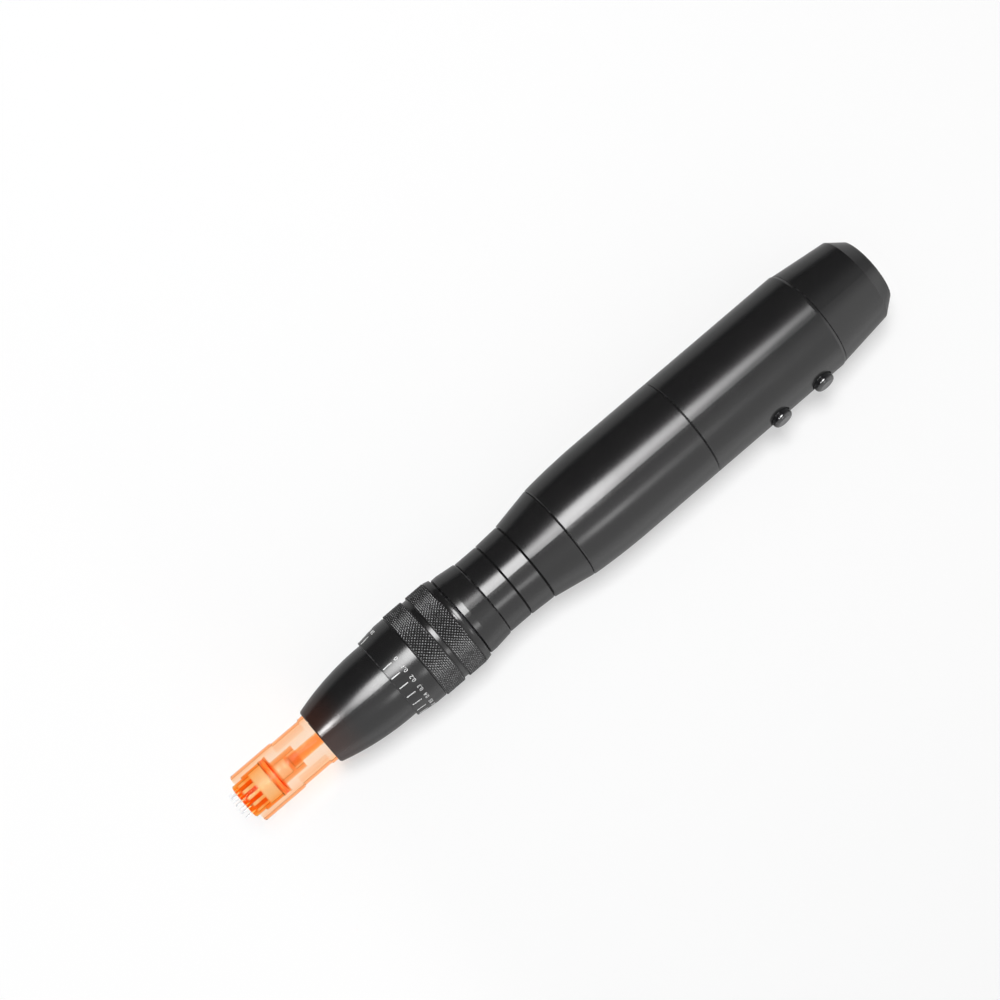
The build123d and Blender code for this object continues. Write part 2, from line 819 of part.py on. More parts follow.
# Motor and its mount
motor_back_x = mount_back_x + motor_can_length
end_bell_back_x = motor_back_x + end_bell_length
can_bore_radius = motor_radius - motor_can_wall
magnet_front_x = mount_back_x + bearing_length + motor_can_wall
armature_radius = can_bore_radius - magnet_thickness - free_gap
commutator_back_x = motor_back_x - free_gap

with BuildPart() as motor_shaft:
    turn_ring(shaft_front_x, shaft_back_x, shaft_radius)
motor_shaft.part.label = "motor_shaft"

with BuildPart() as motor_can:
    turn(
        (mount_back_x - motor_boss_length, bearing_radius + press_gap),
        (mount_back_x - motor_boss_length, motor_boss_radius),
        (mount_back_x, motor_boss_radius),
        (mount_back_x, motor_radius),
        (motor_back_x, motor_radius),
        (motor_back_x, can_bore_radius),
        (mount_back_x + motor_can_wall, can_bore_radius),
        (mount_back_x + motor_can_wall, bearing_radius + press_gap),
    )
    with BuildSketch(across(mount_back_x)):
        with PolarLocations(mount_screw_circle, 2, start_angle=90):
            Circle(screw_radius + press_gap)
    extrude(amount=motor_can_wall, mode=Mode.SUBTRACT)
motor_can.part.label = "motor_can"

with BuildPart() as motor_bearings:
    for bearing_front_x in (mount_back_x - motor_boss_length, end_bell_back_x - bearing_length):
        turn_ring(
            bearing_front_x,
            bearing_front_x + bearing_length,
            bearing_radius,
            shaft_radius + running_fit,
        )
motor_bearings.part.label = "motor_bearings"

with BuildPart() as motor_magnets:
    for side in (0, 180):
        turn_ring(
            magnet_front_x,
            magnet_front_x + magnet_length,
            can_bore_radius - press_gap,
            can_bore_radius - magnet_thickness,
            start=side - magnet_angle / 2,
            sweep_angle=magnet_angle,
        )
motor_magnets.part.label = "motor_magnets"

with BuildPart() as motor_armature:
    turn_ring(
        magnet_front_x,
        magnet_front_x + armature_length,
        armature_radius,
        shaft_radius + press_gap,
    )
    with BuildSketch(across(magnet_front_x)):
        with PolarLocations(armature_radius, armature_poles, start_angle=90):
            Rectangle(armature_radius, armature_slot_width)
    extrude(amount=armature_length, mode=Mode.SUBTRACT)
motor_armature.part.label = "motor_armature"

with BuildPart() as commutator:
    turn_ring(
        commutator_back_x - commutator_length,
        commutator_back_x,
        commutator_radius,
        shaft_radius + press_gap,
    )
commutator.part.label = "commutator"

with BuildPart() as motor_end_bell:
    turn_ring(motor_back_x, end_bell_back_x, motor_radius, bearing_radius + press_gap)
motor_end_bell.part.label = "motor_end_bell"

terminal_back_x = end_bell_back_x + terminal_length

with BuildPart() as motor_terminals:
    with BuildSketch(under_button((end_bell_back_x + terminal_back_x) / 2, terminal_height)):
        with GridLocations(1, terminal_spacing, 1, 2):
            Rectangle(terminal_length, terminal_width)
    extrude(amount=terminal_thickness)
motor_terminals.part.label = "motor_terminals"

with BuildPart() as motor_mount:
    turn_ring(mount_front_x, mount_back_x, mount_radius, motor_boss_radius + thread_gap)
    with BuildSketch(across(mount_front_x)):
        with PolarLocations(mount_screw_circle, 2, start_angle=90):
            Circle(screw_radius + press_gap)
        with PolarLocations(dowel_circle_radius, 2):
            Circle(dowel_radius + press_gap)
    extrude(amount=mount_thickness, mode=Mode.SUBTRACT)
motor_mount.part.label = "motor_mount"

with BuildPart() as mount_screws:
    with BuildSketch(across(mount_front_x)):
        with PolarLocations(mount_screw_circle, 2, start_angle=90):
            Circle(screw_head_radius)
    extrude(amount=-screw_head_height)
    with BuildSketch(across(mount_front_x)):
        with PolarLocations(mount_screw_circle, 2, start_angle=90):
            Circle(screw_radius)
    extrude(amount=mount_thickness + motor_can_wall)
    with BuildSketch(across(mount_front_x - screw_head_height)):
        with PolarLocations(mount_screw_circle, 2, start_angle=90):
            RegularPolygon(screw_radius, 6)
    extrude(amount=screw_head_height / 2, mode=Mode.SUBTRACT)
mount_screws.part.label = "mount_screws"

with BuildPart() as motor_damper:
    turn_ring(
        motor_back_x - damper_setback - damper_length,
        motor_back_x - damper_setback,
        shell_bore_radius - press_gap,
        motor_radius + press_gap,
    )
motor_damper.part.label = "motor_damper"

# Collar and neck, screwed on the sleeve
with BuildPart() as collar:
    turn(
        (collar_front_x, sleeve_tail_radius + thread_gap),
        (collar_front_x, collar_front_radius - edge_break),
        (collar_front_x + edge_break, collar_front_radius),
        (collar_front_x + collar_land_length, collar_front_radius),
        (neck_front_x - edge_break, collar_back_radius),
        (neck_front_x, collar_back_radius - edge_break),
        (neck_front_x, sleeve_tail_radius + thread_gap),
    )
collar.part.label = "collar"

first_groove_x = neck_front_x + neck_front_band_length
second_groove_x = first_groove_x + neck_back_band_length
half_groove = groove_width / 2
spigot_back_x = shell_front_x + spigot_length

with BuildPart() as neck:
    turn(
        (neck_front_x, sleeve_tail_radius + thread_gap),
        (neck_front_x, neck_front_radius - edge_break),
        (neck_front_x + edge_break, neck_front_radius),
        (first_groove_x - half_groove, neck_front_radius),
        (first_groove_x, neck_front_radius - groove_depth),
        (first_groove_x + half_groove, neck_band_front_radius),
        (second_groove_x - half_groove, neck_band_back_radius),
        (second_groove_x, neck_band_back_radius - groove_depth),
        (second_groove_x + half_groove, neck_cone_front_radius),
        (shell_front_x - edge_break, neck_cone_back_radius),
        (shell_front_x, neck_cone_back_radius - edge_break),
        (shell_front_x, spigot_radius),
        (spigot_back_x, spigot_radius),
        (spigot_back_x, mount_radius + press_gap),
        (mount_front_x, mount_radius + press_gap),
        (mount_front_x, cavity_radius),
        (sleeve_back_x, cavity_radius),
        (sleeve_back_x, sleeve_tail_radius + thread_gap),
    )
neck.part.label = "neck"

# Shells, each with a spigot that screws into the next, and the tail cap
socket_radius = spigot_radius + thread_gap
gasket_length = 2 * edge_break
swell_back_x = shell_front_x + shell_swell_length
swell_middle_x = shell_front_x + shell_swell_length / 2
swell_middle_radius = body_radius - (body_radius - shell_front_radius) / 4
rear_spigot_x = rear_front_x + spigot_length
cap_spigot_x = cap_front_x + spigot_length
button_back_x = tail_x - button_from_tail
button_front_x = button_back_x - button_spacing
button_stations = (button_front_x, button_back_x)

with BuildPart() as front_shell:
    with BuildSketch(side_at(0)):
        with BuildLine():
            ThreePointArc(
                (shell_front_x + edge_break, shell_front_radius),
                (swell_middle_x, swell_middle_radius),
                (swell_back_x, body_radius),
            )
            Polyline(
                (swell_back_x, body_radius),
                (rear_front_x - edge_break, body_radius),
                (rear_front_x, body_radius - edge_break),
                (rear_front_x, spigot_radius),
                (rear_spigot_x, spigot_radius),
                (rear_spigot_x, shell_bore_radius),
                (spigot_back_x + gasket_length, shell_bore_radius),
                (spigot_back_x + gasket_length, socket_radius),
                (shell_front_x, socket_radius),
                (shell_front_x, shell_front_radius - edge_break),
                (shell_front_x + edge_break, shell_front_radius),
            )
        make_face()
    revolve(axis=pen_axis)
front_shell.part.label = "front_shell"

with BuildPart() as rear_shell:
    turn(
        (rear_front_x, socket_radius),
        (rear_front_x, body_radius - edge_break),
        (rear_front_x + edge_break, body_radius),
        (cap_front_x - end_break_length, body_radius),
        (cap_front_x, body_radius - end_break),
        (cap_front_x, spigot_radius),
        (cap_spigot_x, spigot_radius),
        (cap_spigot_x, shell_bore_radius),
        (rear_spigot_x + gasket_length, shell_bore_radius),
        (rear_spigot_x + gasket_length, socket_radius),
    )
    for button_x in button_stations:
        with BuildSketch(under_button(button_x, 0)):
            Circle(button_radius + button_gap)
        extrude(amount=2 * body_radius, mode=Mode.SUBTRACT)
rear_shell.part.label = "rear_shell"

with BuildPart() as tail_cap:
    turn(
        (cap_front_x, socket_radius),
        (cap_front_x, cap_front_radius - edge_break),
        (cap_front_x + edge_break, cap_front_radius),
        (tail_x - tail_chamfer_length, cap_back_radius),
        (tail_x, tail_face_radius),
        (tail_x, jack_neck_radius + press_gap),
        (tail_x - tail_wall, jack_neck_radius + press_gap),
        (tail_x - tail_wall, cap_bore_radius),
        (cap_spigot_x + gasket_length, cap_bore_radius),
        (cap_spigot_x + gasket_length, socket_radius),
    )
tail_cap.part.label = "tail_cap"

with BuildPart() as joint_gaskets:
    for spigot_end_x in (spigot_back_x, rear_spigot_x, cap_spigot_x):
        gasket_bore = mount_radius + press_gap if spigot_end_x == spigot_back_x else shell_bore_radius
        turn_ring(spigot_end_x, spigot_end_x + gasket_length, spigot_radius, gasket_bore)
joint_gaskets.part.label = "joint_gaskets"

# Buttons
button_top = body_radius + button_proud
button_neck_height = button_top - button_flange_top


def push_button(x):
    """Flanged button, its face rounded over, on the buttons' line at a place along the pen."""
    with BuildPart(under_button(x, button_base)) as button:
        Cylinder(button_flange_radius, button_flange_thickness, align=on_base)
        with Locations((0, 0, button_flange_thickness)):
            Cylinder(button_radius, button_neck_height, align=on_base)
        face = button.faces().sort_by(Axis((x, 0, body_radius), tuple(button_way)))[-1]
        fillet(face.edges(), button_rounding)
    return button


button_front = push_button(button_front_x)
button_front.part.label = "button_front"
button_back = push_button(button_back_x)
button_back.part.label = "button_back"

# Battery in its chassis, with the control board on the deck under the buttons
board_way = Vector(0, sin(button_raise), cos(button_raise))
battery_way = Vector(0, sin(battery_turn - button_raise), -cos(battery_turn - button_raise))
battery_side = -battery_drop * cos(battery_turn)
chassis_front_x = end_bell_back_x + chassis_from_motor
chassis_back_x = cap_front_x + free_gap
board_front_x = chassis_front_x + chassis_wall
board_back_x = chassis_back_x - chassis_wall
bay_length = board_back_x - board_front_x
bay_middle_x = (board_front_x + board_back_x) / 2
battery_length = bay_length - 2 * tab_thickness
board_screw_stations = (board_front_x + board_screw_inset, board_back_x - board_screw_inset)


def beside_board(x, height, side):
    """Point at a height above the pen's axis and a distance across the board."""
    return Vector(x, 0, body_radius) + button_way * height + board_way * side


with BuildPart() as chassis:
    turn_ring(chassis_front_x, chassis_back_x, chassis_radius)
    with BuildSketch(under_button(bay_middle_x, board_bottom)):
        Rectangle(2 * bay_length, 2 * body_radius)
    extrude(amount=body_radius, mode=Mode.SUBTRACT)
    with BuildSketch(across(board_front_x)):
        with Locations((battery_way.Y * battery_drop, battery_way.Z * battery_drop)):
            Circle(battery_radius + battery_bore_clearance)
    extrude(amount=bay_length, mode=Mode.SUBTRACT)
    with BuildSketch(across(board_front_x + chassis_end_block)):
        Circle(chassis_radius - chassis_wall)
    extrude(amount=bay_length - 2 * chassis_end_block, mode=Mode.SUBTRACT)
    with BuildSketch(under_button(bay_middle_x, board_bottom)):
        with Locations((0, battery_side)):
            Rectangle(bay_length, 2 * deck_window_half_width)
    extrude(amount=-board_bottom, mode=Mode.SUBTRACT)
    floor_origin = Vector(bay_middle_x, 0, body_radius) + battery_way * battery_drop
    with BuildSketch(Plane(origin=floor_origin, x_dir=(1, 0, 0), z_dir=battery_way)):
        Rectangle(bay_length, 2 * floor_window_half_width)
    extrude(amount=body_radius, mode=Mode.SUBTRACT)
    with BuildSketch(Plane.XZ):
        with Locations((bay_middle_x, body_radius)):
            Rectangle(bay_length - 2 * chassis_end_block, 2 * back_window_half_height)
    extrude(amount=-body_radius, mode=Mode.SUBTRACT)
    for screw_x in board_screw_stations:
        with BuildSketch(under_button(screw_x, board_bottom)):
            with Locations((0, board_screw_side)):
                Circle(board_screw_radius + press_gap)
        extrude(amount=-board_screw_depth, mode=Mode.SUBTRACT)
chassis.part.label = "chassis"

with BuildPart() as battery:
    with BuildSketch(across(board_front_x + tab_thickness)):
        with Locations((battery_way.Y * battery_drop, battery_way.Z * battery_drop)):
            Circle(battery_radius)
    extrude(amount=battery_length)
    chamfer(battery.edges().filter_by(GeomType.CIRCLE), tab_thickness)
battery.part.label = "battery"

with BuildPart() as battery_tabs:
    for tab_front_x in (board_front_x, board_back_x - tab_thickness):
        with BuildSketch(under_button(tab_front_x + tab_thickness / 2, -tab_reach_down)):
            with Locations((0, battery_side)):
                Rectangle(tab_thickness, tab_width)
        extrude(amount=tab_reach_down + board_bottom)
battery_tabs.part.label = "battery_tabs"

with BuildPart() as control_board:
    with BuildSketch(under_button(bay_middle_x, board_bottom)):
        Rectangle(bay_length, board_width)
        for screw_x in board_screw_stations:
            with Locations((screw_x - bay_middle_x, board_screw_side)):
                Circle(board_screw_radius + press_gap, mode=Mode.SUBTRACT)
    extrude(amount=board_thickness)
control_board.part.label = "control_board"

with BuildPart() as board_screws:
    for screw_x in board_screw_stations:
        with BuildSketch(under_button(screw_x, board_bottom - board_screw_depth)):
            with Locations((0, board_screw_side)):
                Circle(board_screw_radius)
        extrude(amount=board_screw_depth + board_thickness)
        with BuildSketch(under_button(screw_x, board_top)):
            with Locations((0, board_screw_side)):
                Circle(board_screw_head_radius)
        extrude(amount=board_screw_head_height)
board_screws.part.label = "board_screws"

with BuildPart() as tact_switches:
    for button_x in button_stations:
        with BuildSketch(under_button(button_x, board_top)):
            Rectangle(switch_size, switch_size)
        extrude(amount=switch_height)
        with BuildSketch(under_button(button_x, board_top + switch_height)):
            Circle(switch_nub_radius)
        extrude(amount=switch_nub_height)
tact_switches.part.label = "tact_switches"

chip_run_front_x = board_front_x + lead_lap
chip_run = button_front_x - switch_size / 2 - chip_run_front_x

with BuildPart() as board_chips:
    for place, chip_share in enumerate(chip_shares):
        chip_x = chip_run_front_x + chip_run * (place + 0.5) / len(chip_shares)
        chip_size = chip_run * chip_share
        with BuildSketch(under_button(chip_x, board_top)):
            Rectangle(chip_size, chip_size)
        extrude(amount=chip_height)
board_chips.part.label = "board_chips"

# Charging jack, its retainer and the pad behind the chassis
jack_seat_x = tail_x - tail_wall
jack_front_x = jack_seat_x - jack_body_length

with BuildPart() as charge_jack:
    turn(
        (jack_front_x, 0),
        (jack_front_x, jack_body_radius),
        (jack_seat_x, jack_body_radius),
        (jack_seat_x, jack_neck_radius),
        (tail_x, jack_neck_radius),
        (tail_x, jack_bore_radius),
        (tail_x - jack_bore_depth, jack_bore_radius),
        (tail_x - jack_bore_depth, 0),
    )
charge_jack.part.label = "charge_jack"

with BuildPart() as jack_retainer:
    turn_ring(
        jack_seat_x - jack_body_length / 2 - jack_retainer_thickness / 2,
        jack_seat_x - jack_body_length / 2 + jack_retainer_thickness / 2,
        cap_bore_radius - press_gap,
        jack_body_radius + press_gap,
    )
jack_retainer.part.label = "jack_retainer"

with BuildPart() as end_pad:
    turn_ring(
        chassis_back_x,
        cap_spigot_x + gasket_length,
        shell_bore_radius - press_gap,
        shell_bore_radius - end_pad_wall,
    )
end_pad.part.label = "end_pad"

# Leads, soldered on the board's outer face
jack_lead_height = jack_bore_radius + lead_radius
jack_lead_turn_x = (chassis_back_x + jack_front_x) / 2
terminal_x = (end_bell_back_x + terminal_back_x) / 2

with BuildPart() as motor_leads:
    for side in (-terminal_spacing / 2, terminal_spacing / 2):
        with BuildLine() as motor_lead_route:
            FilletPolyline(
                beside_board(terminal_x, terminal_top, side),
                beside_board(terminal_x, lead_height, side),
                beside_board(board_front_x + lead_lap, lead_height, side),
                radius=lead_bend_radius,
            )
        lead_start = beside_board(terminal_x, terminal_top, side)
        with BuildSketch(Plane(origin=lead_start, z_dir=button_way)):
            Circle(lead_radius)
        sweep(path=motor_lead_route.line)
motor_leads.part.label = "motor_leads"

with BuildPart() as jack_leads:
    for side in (-lead_spacing / 2, lead_spacing / 2):
        with BuildLine() as jack_lead_route:
            FilletPolyline(
                beside_board(jack_front_x, jack_lead_height, side),
                beside_board(jack_lead_turn_x, jack_lead_height, side),
                beside_board(jack_lead_turn_x, lead_height, side),
                beside_board(board_back_x - lead_lap, lead_height, side),
                radius=lead_bend_radius,
            )
        lead_start = beside_board(jack_front_x, jack_lead_height, side)
        with BuildSketch(Plane(origin=lead_start, z_dir=(-1, 0, 0))):
            Circle(lead_radius)
        sweep(path=jack_lead_route.line)
jack_leads.part.label = "jack_leads"

pieces = (
    cartridge_barrel, needle_hub, needles, needle_plunger, plunger_seal_ring, plunger_pin,
    nose_cone, bayonet_collar, guide_pins, nose_seal_ring,
    depth_ring, click_washer, retaining_ring, guide_sleeve, rod_bushes, rod_seal,
    push_rod, cam_follower, guide_dowels, return_spring, drive_cam,
    motor_shaft, motor_can, motor_bearings, motor_magnets, motor_armature, commutator,
    motor_end_bell, motor_terminals, motor_mount, mount_screws, motor_damper,
    collar, neck, front_shell, rear_shell, tail_cap, joint_gaskets,
    button_front, button_back,
    chassis, battery, battery_tabs, control_board, board_screws, tact_switches, board_chips,
    charge_jack, jack_retainer, end_pad, motor_leads, jack_leads,
)

os.makedirs("parts", exist_ok=True)
for piece in pieces:
    export_step(piece.part, f"parts/{piece.part.label}.step")
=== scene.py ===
import bmesh
import bpy
import json
from math import atan2, cos, pi, radians, sin, tan
from mathutils import Matrix, Vector


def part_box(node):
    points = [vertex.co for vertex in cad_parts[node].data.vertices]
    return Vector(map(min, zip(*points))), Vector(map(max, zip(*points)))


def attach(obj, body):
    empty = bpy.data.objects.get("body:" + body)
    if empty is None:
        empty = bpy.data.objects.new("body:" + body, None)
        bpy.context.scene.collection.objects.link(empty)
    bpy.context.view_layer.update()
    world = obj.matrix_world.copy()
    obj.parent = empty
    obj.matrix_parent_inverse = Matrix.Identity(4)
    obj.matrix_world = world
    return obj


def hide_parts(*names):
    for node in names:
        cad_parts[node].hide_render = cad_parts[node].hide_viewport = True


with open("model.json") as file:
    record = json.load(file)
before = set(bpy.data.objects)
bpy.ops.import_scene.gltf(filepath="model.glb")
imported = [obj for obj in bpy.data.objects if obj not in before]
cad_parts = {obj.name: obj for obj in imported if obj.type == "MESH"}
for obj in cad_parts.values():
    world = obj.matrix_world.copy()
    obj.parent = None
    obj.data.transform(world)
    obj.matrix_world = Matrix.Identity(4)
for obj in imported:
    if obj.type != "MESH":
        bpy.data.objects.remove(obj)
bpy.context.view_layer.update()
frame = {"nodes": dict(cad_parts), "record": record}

# A microneedling pen on a white table, seen from above. Sizes below are in millimetres and
# angles in degrees, while the frame is in metres. The pen's axis runs along X, from the
# needles to the tail.
MM = 0.001
AXIS_HEIGHT = 12.5

# Depth ring, its radii as on the turned part
RING_BORE_RADIUS = 9.5
SCALE_FRONT_RADIUS = 10.05
SCALE_BACK_RADIUS = 10.62
SCALE_TAPER_LENGTH = 5.0
SCALE_BAND_LENGTH = 7.6
FRONT_KNURL_LENGTH = 5.15
KNURL_GAP_LENGTH = 1.18
REAR_KNURL_LENGTH = 4.84
KNURL_RADIUS = 10.86
KNURL_GAP_RADIUS = 10.42
RING_BACK_RADIUS = 10.46
KNURL_TEETH = 84
KNURL_PITCH = 0.8
KNURL_DEPTH = 0.26
KNURL_LAND = 0.22
# Depth below the knurl's top from which the tips are painted lighter, as wear and as a painted
# glint
KNURL_WEAR_AND_GLINT_HEIGHT = 0.06
RING_EDGE = 0.12
SMOOTH_ANGLE = 25
ON_SURFACE = 0.05

# Scale on the ring
SCALE_STEPS = 20
SCALE_STEP_ANGLE = 15.2
SCALE_START_ANGLE = -13.7
TICK_LENGTH = 2.25
TICK_WIDTH = 0.25
TICK_SETBACK = 0.4
NUMBER_HEIGHT = 0.92
NUMBER_BOLDNESS = 0.005
DIGIT_SHARE = 0.69
NUMBER_SETBACK = 4.35
PAINT_THICKNESS = 0.03
PAINT_SINK = 0.02

# Clear orange plastic: how far it bends light, the red that it lets through, and each piece's
# depth of colour and the green that it lets through
CLEAR_BEND = 1.03
CLEAR_RED = 0.985
CLEAR_PIECES = {
    "cartridge_barrel": (370.0, 0.48),
    "needle_hub": (740.0, 0.61),
    "needle_plunger": (460.0, 0.52),
    "plunger_pin": (900.0, 0.56),
}

# Camera, lights and table. The camera is tilted toward the tail and then turned.
CAMERA_PLACE = (-58.03, 13.68, 550.0)
CAMERA_TILT = 5.699
CAMERA_TURN = 40.41
CAMERA_LENS = 90.0
SENSOR_WIDTH = 36.0
LIGHT_DISTANCE = 900.0
TABLE_SIZE = 8000.0
TABLE_DROP = 0.02


def pick(objects):
    """Leave only these objects selected, the last one active."""
    bpy.ops.object.select_all(action="DESELECT")
    for one in objects:
        one.select_set(True)
        bpy.context.view_layer.objects.active = one


class Socket:
    """A node's output. Arithmetic on it adds Math nodes to the material."""

    def __init__(self, look, output):
        self.look = look
        self.output = output

    def math(self, operation, *values):
        """Add one Math node."""
        return self.look.node("ShaderNodeMath", {"operation": operation}, dict(enumerate(values)))

    def __add__(self, other):
        return self.math("ADD", self, other)

    def __sub__(self, other):
        return self.math("SUBTRACT", self, other)

    def __mul__(self, other):
        return self.math("MULTIPLY", self, other)

    def __truediv__(self, other):
        return self.math("DIVIDE", self, other)

    def __pow__(self, other):
        return self.math("POWER", self, other)

    def __radd__(self, other):
        return self.math("ADD", other, self)

    def __rsub__(self, other):
        return self.math("SUBTRACT", other, self)

    def __rmul__(self, other):
        return self.math("MULTIPLY", other, self)

    def __abs__(self):
        return self.math("ABSOLUTE", self)

    def ramp(self, low, high):
        """0 below low, 1 above high and smooth between."""
        ends = {"Value": self, "From Min": low, "From Max": high}
        settings = {"interpolation_type": "SMOOTHSTEP", "clamp": True}
        return self.look.node("ShaderNodeMapRange", settings, ends)


class Look:
    """The nodes of one material, or of the world."""

    def __init__(self, holder):
        holder.use_nodes = True
        self.holder = holder
        self.tree = holder.node_tree
        self.tree.nodes.clear()

    def node(self, kind, settings=None, values=None, output=0):
        """Add a node, set it up, fill its sockets and give back one output."""
        made = self.tree.nodes.new(kind)
        for key, value in (settings or {}).items():
            setattr(made, key, value)
        for key, value in (values or {}).items():
            if isinstance(value, Socket):
                self.tree.links.new(value.output, made.inputs[key])
            else:
                made.inputs[key].default_value = value
        return Socket(self, made.outputs[output]) if made.outputs else made

    def place(self):
        """Where on the piece the surface is, in metres."""
        return self.node("ShaderNodeTexCoord", output="Object")

    def ray(self, kind):
        """1 for light paths of one kind and 0 for the others."""
        return self.node("ShaderNodeLightPath", output=f"Is {kind} Ray")

    def split(self, vector):
        """The three parts of a vector."""
        made = self.node("ShaderNodeSeparateXYZ", values={0: vector}).output.node
        return [Socket(self, part) for part in made.outputs]

    def noise(self, size, detail=3.0, vector=None):
        """Cloudy noise between 0 and 1 whose patches are about size millimetres wide."""
        values = {"Scale": 1 / (size * MM), "Detail": detail, "Vector": vector or self.place()}
        return self.node("ShaderNodeTexNoise", values=values)

    def mix(self, amount, low, high):
        """Mix two colours."""
        sides = {0: amount, 6: (*low, 1.0) if isinstance(low, tuple) else low}
        sides[7] = (*high, 1.0) if isinstance(high, tuple) else high
        return self.node("ShaderNodeMix", {"data_type": "RGBA"}, sides, output=2)

    def bump(self, height, depth):
        """A normal from a height between 0 and 1, depth millimetres deep."""
        values = {"Strength": 1.0, "Distance": depth * MM, "Height": height}
        return self.node("ShaderNodeBump", values=values)

    def surface(self, **values):
        """Close the material with one Principled shader."""
        named = {key.replace("_", " "): value for key, value in values.items()}
        for key, value in named.items():
            if isinstance(value, tuple) and len(value) == 3:
                named[key] = (*value, 1.0)
        shader = self.node("ShaderNodeBsdfPrincipled", values=named)
        self.node("ShaderNodeOutputMaterial", values={"Surface": shader})
        return self.holder


def new_look(name):
    """An empty material."""
    return Look(bpy.data.materials.new(name))


def along_pen(look):
    """Place along the pen and distance from its axis, in millimetres."""
    x, y, z = look.split(look.place())
    up = z / MM - AXIS_HEIGHT
    side = y / MM
    return x / MM, (side * side + up * up) ** 0.5


def anodised(name, edges, glow=None, tips=None):
    """Satin black anodised aluminium, bead blasted, a little bright with wear at its turned
    edges.
    Where tips gives a radius, the knurl's tips beyond it are painted lighter, partly as rubbed
    wear and partly as a painted glint. Where glow gives a place, the metal behind it is painted
    warm, a painted reflection of orange light from the clear end."""
    look = new_look(name)
    x, radius = along_pen(look)
    grain = look.noise(0.16, 2.0)
    patches = look.noise(7.0)
    wear = sum(1 - abs(x - edge).ramp(0.05, 0.4) for edge in edges)
    wear = wear * look.noise(0.9).ramp(0.45, 0.7)
    colour = look.mix(patches, (0.0095, 0.0095, 0.010), (0.0125, 0.0122, 0.0122))
    colour = look.mix(wear * 0.35, colour, (0.11, 0.11, 0.112))
    if tips is not None:
        # Painted glint and wear: the knurl's tips are painted lighter in patches
        patchy = 0.25 + 0.75 * look.noise(0.9).ramp(0.4, 0.6)
        rubbed_and_glint_tips = radius.ramp(tips, tips + 0.05) * patchy
        colour = look.mix(rubbed_and_glint_tips, colour, (0.2, 0.2, 0.203))
    if glow is not None:
        # Painted reflection: the metal near the clear end is painted orange, as if lit by it
        colour = look.mix((1 - (x - glow).ramp(0.0, 9.0)) * 0.8, colour, (0.042, 0.017, 0.012))
    return look.surface(
        Base_Color=colour,
        Roughness=0.17 + patches * 0.05 + grain * 0.04,
        IOR=1.5,
        Normal=look.bump(grain, 0.002),
    )


def moulded(name, dark, light, roughness):
    """Moulded plastic with a fine spark texture."""
    look = new_look(name)
    texture = look.noise(0.3, 2.0)
    flow = look.noise(6.0)
    return look.surface(
        Base_Color=look.mix(flow, dark, light),
        Roughness=roughness + flow * 0.08 + texture * 0.05,
        IOR=1.5,
        Normal=look.bump(texture, 0.006),
    )


def metal(name, dark, light, roughness, grain=(1.0, 1.0, 1.0)):
    """Bare metal with drawn or turned lines. The grain stretches the noise along X, Y and Z."""
    look = new_look(name)
    lines = look.node(
        "ShaderNodeVectorMath", {"operation": "MULTIPLY"}, {0: look.place(), 1: grain}
    )
    scratches = look.noise(0.15, 3.0, lines)
    tarnish = look.noise(4.0)
    return look.surface(
        Base_Color=look.mix(tarnish, dark, light),
        Metallic=1.0,
        Roughness=roughness + scratches * 0.12 + tarnish * 0.05,
        Normal=look.bump(scratches, 0.003),
    )


def rubber(name, shade):
    """Soft black rubber, dusty in its pores."""
    look = new_look(name)
    pores = look.noise(0.2, 4.0)
    lighter = tuple(part * 1.8 for part in shade)
    return look.surface(
        Base_Color=look.mix(pores, shade, lighter),
        Roughness=0.72 + pores * 0.15,
        IOR=1.52,
        Normal=look.bump(pores, 0.02),
    )


def clear_plastic(name, density, green):
    """Clear orange plastic, its colour growing with the thickness that light crosses."""
    look = new_look(name)
    ripple = look.noise(2.2, 1.0)
    shader = look.node(
        "ShaderNodeBsdfPrincipled",
        values={
            "Base Color": (1.0, 1.0, 1.0, 1.0),
            "Transmission Weight": 1.0,
            "IOR": CLEAR_BEND,
            "Roughness": 0.01 + ripple * 0.03,
            "Coat Weight": 0.02 + ripple * 0.02,
            "Coat Roughness": 0.08,
            "Normal": look.bump(ripple, 0.01),
        },
    )
    stain = {"Color": (CLEAR_RED, green, 0.0, 1.0), "Density": density}
    inside = look.node("ShaderNodeVolumeAbsorption", values=stain)
    look.node("ShaderNodeOutputMaterial", values={"Surface": shader, "Volume": inside})
    return look.holder


def button_plastic(name):
    """Glossy black plastic with hair scratches."""
    look = new_look(name)
    haze = look.noise(1.5)
    scratches = look.noise(0.12, 2.0)
    return look.surface(
        Base_Color=look.mix(haze, (0.006, 0.006, 0.007), (0.010, 0.010, 0.011)),
        Roughness=0.10 + haze * 0.06,
        IOR=1.55,
        Coat_Weight=0.5,
        Coat_Roughness=0.06,
        Normal=look.bump(scratches, 0.0008),
    )


def scale_paint(name):
    """White screen-printed ink, a little thin in places."""
    look = new_look(name)
    cover = look.noise(0.35)
    return look.surface(
        Base_Color=look.mix(cover, (0.62, 0.62, 0.62), (0.9, 0.9, 0.9)),
        Roughness=0.45 + cover * 0.15,
        Normal=look.bump(cover, 0.004),
    )


